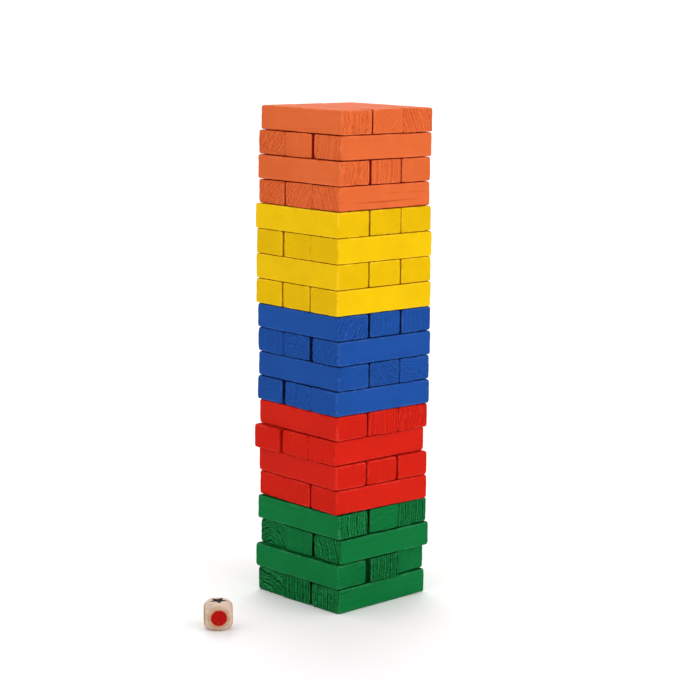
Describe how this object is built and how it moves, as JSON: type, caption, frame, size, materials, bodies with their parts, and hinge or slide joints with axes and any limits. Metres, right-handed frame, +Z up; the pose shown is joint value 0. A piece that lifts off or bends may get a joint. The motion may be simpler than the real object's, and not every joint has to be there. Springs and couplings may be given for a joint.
{
  "type": "giant tumbling tower",
  "caption": "Tumbling tower game: loose painted wooden blocks stacked crosswise in courses of five colours, with a wooden colour die standing beside the stack.",
  "frame": {"origin": "the middle of the tower's underside, on the floor", "axes": "+Z up; +X along the blocks of the odd courses, counted from the floor; +Y along the blocks of the even courses; the die stands on the -X side"},
  "size_m": [0.3947, 0.1993, 0.7597],
  "materials": {
    "orange_paint": "satin opaque paint on wood",
    "yellow_paint": "satin opaque paint on wood",
    "blue_paint": "satin opaque paint on wood",
    "red_paint": "satin opaque paint on wood",
    "green_paint": "satin opaque paint on wood",
    "die_wood": "bare sanded beech with printed marks"
  },
  "bodies": {
    "standing_pair": {"course_01_green_middle_and_far": "green_paint"},
    "course_01_green_near": {"course_01_green_near": "green_paint"},
    "course_02_green_near": {"course_02_green_near": "green_paint"},
    "course_02_green_middle": {"course_02_green_middle": "green_paint"},
    "course_02_green_far": {"course_02_green_far": "green_paint"},
    "course_03_green_near": {"course_03_green_near": "green_paint"},
    "course_03_green_middle": {"course_03_green_middle": "green_paint"},
    "course_03_green_far": {"course_03_green_far": "green_paint"},
    "course_04_green_near": {"course_04_green_near": "green_paint"},
    "course_04_green_middle": {"course_04_green_middle": "green_paint"},
    "course_04_green_far": {"course_04_green_far": "green_paint"},
    "course_05_red_near": {"course_05_red_near": "red_paint"},
    "course_05_red_middle": {"course_05_red_middle": "red_paint"},
    "course_05_red_far": {"course_05_red_far": "red_paint"},
    "course_06_red_near": {"course_06_red_near": "red_paint"},
    "course_06_red_middle": {"course_06_red_middle": "red_paint"},
    "course_06_red_far": {"course_06_red_far": "red_paint"},
    "course_07_red_near": {"course_07_red_near": "red_paint"},
    "course_07_red_middle": {"course_07_red_middle": "red_paint"},
    "course_07_red_far": {"course_07_red_far": "red_paint"},
    "course_08_red_near": {"course_08_red_near": "red_paint"},
    "course_08_red_middle": {"course_08_red_middle": "red_paint"},
    "course_08_red_far": {"course_08_red_far": "red_paint"},
    "course_09_blue_near": {"course_09_blue_near": "blue_paint"},
    "course_09_blue_middle": {"course_09_blue_middle": "blue_paint"},
    "course_09_blue_far": {"course_09_blue_far": "blue_paint"},
    "course_10_blue_near": {"course_10_blue_near": "blue_paint"},
    "course_10_blue_middle": {"course_10_blue_middle": "blue_paint"},
    "course_10_blue_far": {"course_10_blue_far": "blue_paint"},
    "course_11_blue_near": {"course_11_blue_near": "blue_paint"},
    "course_11_blue_middle": {"course_11_blue_middle": "blue_paint"},
    "course_11_blue_far": {"course_11_blue_far": "blue_paint"},
    "course_12_blue_near": {"course_12_blue_near": "blue_paint"},
    "course_12_blue_middle": {"course_12_blue_middle": "blue_paint"},
    "course_12_blue_far": {"course_12_blue_far": "blue_paint"},
    "course_13_yellow_near": {"course_13_yellow_near": "yellow_paint"},
    "course_13_yellow_middle": {"course_13_yellow_middle": "yellow_paint"},
    "course_13_yellow_far": {"course_13_yellow_far": "yellow_paint"},
    "course_14_yellow_near": {"course_14_yellow_near": "yellow_paint"},
    "course_14_yellow_middle": {"course_14_yellow_middle": "yellow_paint"},
    "course_14_yellow_far": {"course_14_yellow_far": "yellow_paint"},
    "course_15_yellow_near": {"course_15_yellow_near": "yellow_paint"},
    "course_15_yellow_middle": {"course_15_yellow_middle": "yellow_paint"},
    "course_15_yellow_far": {"course_15_yellow_far": "yellow_paint"},
    "course_16_yellow_near": {"course_16_yellow_near": "yellow_paint"},
    "course_16_yellow_middle": {"course_16_yellow_middle": "yellow_paint"},
    "course_16_yellow_far": {"course_16_yellow_far": "yellow_paint"},
    "course_17_orange_near": {"course_17_orange_near": "orange_paint"},
    "course_17_orange_middle": {"course_17_orange_middle": "orange_paint"},
    "course_17_orange_far": {"course_17_orange_far": "orange_paint"},
    "course_18_orange_near": {"course_18_orange_near": "orange_paint"},
    "course_18_orange_middle": {"course_18_orange_middle": "orange_paint"},
    "course_18_orange_far": {"course_18_orange_far": "orange_paint"},
    "course_19_orange_near": {"course_19_orange_near": "orange_paint"},
    "course_19_orange_middle": {"course_19_orange_middle": "orange_paint"},
    "course_19_orange_far": {"course_19_orange_far": "orange_paint"},
    "course_20_orange_near": {"course_20_orange_near": "orange_paint"},
    "course_20_orange_middle": {"course_20_orange_middle": "orange_paint"},
    "course_20_orange_far": {"course_20_orange_far": "orange_paint"},
    "colour_die": {"colour_die": "die_wood"}
  },
  "joints": [
    {"name": "course_01_green_near_slide", "type": "slide", "parent": "standing_pair", "child": "course_01_green_near", "axis": [0.9993, 0.0384, 0], "range_m": [-0.12, 0.19]},
    {"name": "course_02_green_near_slide", "type": "slide", "parent": "standing_pair", "child": "course_02_green_near", "axis": [-0.0314, 0.9995, 0], "range_m": [-0.19, 0.19]},
    {"name": "course_02_green_middle_slide", "type": "slide", "parent": "standing_pair", "child": "course_02_green_middle", "axis": [-0.0314, 0.9995, 0], "range_m": [-0.19, 0.19]},
    {"name": "course_02_green_far_slide", "type": "slide", "parent": "standing_pair", "child": "course_02_green_far", "axis": [-0.0314, 0.9995, 0], "range_m": [-0.19, 0.19]},
    {"name": "course_03_green_near_slide", "type": "slide", "parent": "standing_pair", "child": "course_03_green_near", "axis": [0.9999, 0.014, 0], "range_m": [-0.19, 0.19]},
    {"name": "course_03_green_middle_slide", "type": "slide", "parent": "standing_pair", "child": "course_03_green_middle", "axis": [0.9999, 0.014, 0], "range_m": [-0.19, 0.19]},
    {"name": "course_03_green_far_slide", "type": "slide", "parent": "standing_pair", "child": "course_03_green_far", "axis": [0.9999, 0.014, 0], "range_m": [-0.19, 0.19]},
    {"name": "course_04_green_near_slide", "type": "slide", "parent": "standing_pair", "child": "course_04_green_near", "axis": [-0.0209, 0.9998, 0], "range_m": [-0.19, 0.19]},
    {"name": "course_04_green_middle_slide", "type": "slide", "parent": "standing_pair", "child": "course_04_green_middle", "axis": [-0.0209, 0.9998, 0], "range_m": [-0.19, 0.19]},
    {"name": "course_04_green_far_slide", "type": "slide", "parent": "standing_pair", "child": "course_04_green_far", "axis": [-0.0209, 0.9998, 0], "range_m": [-0.19, 0.19]},
    {"name": "course_05_red_near_slide", "type": "slide", "parent": "standing_pair", "child": "course_05_red_near", "axis": [0.9998, -0.0175, 0], "range_m": [-0.19, 0.19]},
    {"name": "course_05_red_middle_slide", "type": "slide", "parent": "standing_pair", "child": "course_05_red_middle", "axis": [0.9998, -0.0175, 0], "range_m": [-0.19, 0.19]},
    {"name": "course_05_red_far_slide", "type": "slide", "parent": "standing_pair", "child": "course_05_red_far", "axis": [0.9998, -0.0175, 0], "range_m": [-0.19, 0.19]},
    {"name": "course_06_red_near_slide", "type": "slide", "parent": "standing_pair", "child": "course_06_red_near", "axis": [0.0175, 0.9998, 0], "range_m": [-0.19, 0.19]},
    {"name": "course_06_red_middle_slide", "type": "slide", "parent": "standing_pair", "child": "course_06_red_middle", "axis": [0.0175, 0.9998, 0], "range_m": [-0.19, 0.19]},
    {"name": "course_06_red_far_slide", "type": "slide", "parent": "standing_pair", "child": "course_06_red_far", "axis": [0.0175, 0.9998, 0], "range_m": [-0.19, 0.19]},
    {"name": "course_07_red_near_slide", "type": "slide", "parent": "standing_pair", "child": "course_07_red_near", "axis": [1, 0.0017, 0], "range_m": [-0.19, 0.19]},
    {"name": "course_07_red_middle_slide", "type": "slide", "parent": "standing_pair", "child": "course_07_red_middle", "axis": [1, 0.0017, 0], "range_m": [-0.19, 0.19]},
    {"name": "course_07_red_far_slide", "type": "slide", "parent": "standing_pair", "child": "course_07_red_far", "axis": [1, 0.0017, 0], "range_m": [-0.19, 0.19]},
    {"name": "course_08_red_near_slide", "type": "slide", "parent": "standing_pair", "child": "course_08_red_near", "axis": [0.0175, 0.9998, 0], "range_m": [-0.19, 0.19]},
    {"name": "course_08_red_middle_slide", "type": "slide", "parent": "standing_pair", "child": "course_08_red_middle", "axis": [0.0175, 0.9998, 0], "range_m": [-0.19, 0.19]},
    {"name": "course_08_red_far_slide", "type": "slide", "parent": "standing_pair", "child": "course_08_red_far", "axis": [0.0175, 0.9998, 0], "range_m": [-0.19, 0.19]},
    {"name": "course_09_blue_near_slide", "type": "slide", "parent": "standing_pair", "child": "course_09_blue_near", "axis": [0.9998, -0.0209, 0], "range_m": [-0.19, 0.19]},
    {"name": "course_09_blue_middle_slide", "type": "slide", "parent": "standing_pair", "child": "course_09_blue_middle", "axis": [0.9998, -0.0209, 0], "range_m": [-0.19, 0.19]},
    {"name": "course_09_blue_far_slide", "type": "slide", "parent": "standing_pair", "child": "course_09_blue_far", "axis": [0.9998, -0.0209, 0], "range_m": [-0.19, 0.19]},
    {"name": "course_10_blue_near_slide", "type": "slide", "parent": "standing_pair", "child": "course_10_blue_near", "axis": [0.0052, 1, 0], "range_m": [-0.19, 0.19]},
    {"name": "course_10_blue_middle_slide", "type": "slide", "parent": "standing_pair", "child": "course_10_blue_middle", "axis": [0.0052, 1, 0], "range_m": [-0.19, 0.19]},
    {"name": "course_10_blue_far_slide", "type": "slide", "parent": "standing_pair", "child": "course_10_blue_far", "axis": [0.0052, 1, 0], "range_m": [-0.19, 0.19]},
    {"name": "course_11_blue_near_slide", "type": "slide", "parent": "standing_pair", "child": "course_11_blue_near", "axis": [1, -0.0087, 0], "range_m": [-0.19, 0.19]},
    {"name": "course_11_blue_middle_slide", "type": "slide", "parent": "standing_pair", "child": "course_11_blue_middle", "axis": [1, -0.0087, 0], "range_m": [-0.19, 0.19]},
    {"name": "course_11_blue_far_slide", "type": "slide", "parent": "standing_pair", "child": "course_11_blue_far", "axis": [1, -0.0087, 0], "range_m": [-0.19, 0.19]},
    {"name": "course_12_blue_near_slide", "type": "slide", "parent": "standing_pair", "child": "course_12_blue_near", "axis": [0.0052, 1, 0], "range_m": [-0.19, 0.19]},
    {"name": "course_12_blue_middle_slide", "type": "slide", "parent": "standing_pair", "child": "course_12_blue_middle", "axis": [0.0052, 1, 0], "range_m": [-0.19, 0.19]},
    {"name": "course_12_blue_far_slide", "type": "slide", "parent": "standing_pair", "child": "course_12_blue_far", "axis": [0.0052, 1, 0], "range_m": [-0.19, 0.19]},
    {"name": "course_13_yellow_near_slide", "type": "slide", "parent": "standing_pair", "child": "course_13_yellow_near", "axis": [0.9999, -0.0105, 0], "range_m": [-0.19, 0.19]},
    {"name": "course_13_yellow_middle_slide", "type": "slide", "parent": "standing_pair", "child": "course_13_yellow_middle", "axis": [0.9999, -0.0105, 0], "range_m": [-0.19, 0.19]},
    {"name": "course_13_yellow_far_slide", "type": "slide", "parent": "standing_pair", "child": "course_13_yellow_far", "axis": [0.9999, -0.0105, 0], "range_m": [-0.19, 0.19]},
    {"name": "course_14_yellow_near_slide", "type": "slide", "parent": "standing_pair", "child": "course_14_yellow_near", "axis": [0.007, 1, 0], "range_m": [-0.19, 0.19]},
    {"name": "course_14_yellow_middle_slide", "type": "slide", "parent": "standing_pair", "child": "course_14_yellow_middle", "axis": [0.007, 1, 0], "range_m": [-0.19, 0.19]},
    {"name": "course_14_yellow_far_slide", "type": "slide", "parent": "standing_pair", "child": "course_14_yellow_far", "axis": [0.007, 1, 0], "range_m": [-0.19, 0.19]},
    {"name": "course_15_yellow_near_slide", "type": "slide", "parent": "standing_pair", "child": "course_15_yellow_near", "axis": [1, -0.0087, 0], "range_m": [-0.19, 0.19]},
    {"name": "course_15_yellow_middle_slide", "type": "slide", "parent": "standing_pair", "child": "course_15_yellow_middle", "axis": [1, -0.0087, 0], "range_m": [-0.19, 0.19]},
    {"name": "course_15_yellow_far_slide", "type": "slide", "parent": "standing_pair", "child": "course_15_yellow_far", "axis": [1, -0.0087, 0], "range_m": [-0.19, 0.19]},
    {"name": "course_16_yellow_near_slide", "type": "slide", "parent": "standing_pair", "child": "course_16_yellow_near", "axis": [-0.0017, 1, 0], "range_m": [-0.19, 0.19]},
    {"name": "course_16_yellow_middle_slide", "type": "slide", "parent": "standing_pair", "child": "course_16_yellow_middle", "axis": [-0.0017, 1, 0], "range_m": [-0.19, 0.19]},
    {"name": "course_16_yellow_far_slide", "type": "slide", "parent": "standing_pair", "child": "course_16_yellow_far", "axis": [-0.0017, 1, 0], "range_m": [-0.19, 0.19]},
    {"name": "course_17_orange_near_slide", "type": "slide", "parent": "standing_pair", "child": "course_17_orange_near", "axis": [1, 0.0035, 0], "range_m": [-0.19, 0.19]},
    {"name": "course_17_orange_middle_slide", "type": "slide", "parent": "standing_pair", "child": "course_17_orange_middle", "axis": [1, 0.0035, 0], "range_m": [-0.19, 0.19]},
    {"name": "course_17_orange_far_slide", "type": "slide", "parent": "standing_pair", "child": "course_17_orange_far", "axis": [1, 0.0035, 0], "range_m": [-0.19, 0.19]},
    {"name": "course_18_orange_near_slide", "type": "slide", "parent": "standing_pair", "child": "course_18_orange_near", "axis": [-0.0087, 1, 0], "range_m": [-0.19, 0.19]},
    {"name": "course_18_orange_middle_slide", "type": "slide", "parent": "standing_pair", "child": "course_18_orange_middle", "axis": [-0.0087, 1, 0], "range_m": [-0.19, 0.19]},
    {"name": "course_18_orange_far_slide", "type": "slide", "parent": "standing_pair", "child": "course_18_orange_far", "axis": [-0.0087, 1, 0], "range_m": [-0.19, 0.19]},
    {"name": "course_19_orange_near_slide", "type": "slide", "parent": "standing_pair", "child": "course_19_orange_near", "axis": [1, 0.0052, 0], "range_m": [-0.19, 0.19]},
    {"name": "course_19_orange_middle_slide", "type": "slide", "parent": "standing_pair", "child": "course_19_orange_middle", "axis": [1, 0.0052, 0], "range_m": [-0.19, 0.19]},
    {"name": "course_19_orange_far_slide", "type": "slide", "parent": "standing_pair", "child": "course_19_orange_far", "axis": [1, 0.0052, 0], "range_m": [-0.19, 0.19]},
    {"name": "course_20_orange_near_slide", "type": "slide", "parent": "standing_pair", "child": "course_20_orange_near", "axis": [0.0052, 1, 0], "range_m": [-0.19, 0.19]},
    {"name": "course_20_orange_middle_slide", "type": "slide", "parent": "standing_pair", "child": "course_20_orange_middle", "axis": [0.0052, 1, 0], "range_m": [-0.19, 0.19]},
    {"name": "course_20_orange_far_slide", "type": "slide", "parent": "standing_pair", "child": "course_20_orange_far", "axis": [0.0052, 1, 0], "range_m": [-0.19, 0.19]},
    {"name": "colour_die_lift", "type": "slide", "parent": "standing_pair", "child": "colour_die", "axis": [0, 0, 1], "range_m": [0, 0.15]}
  ]
}
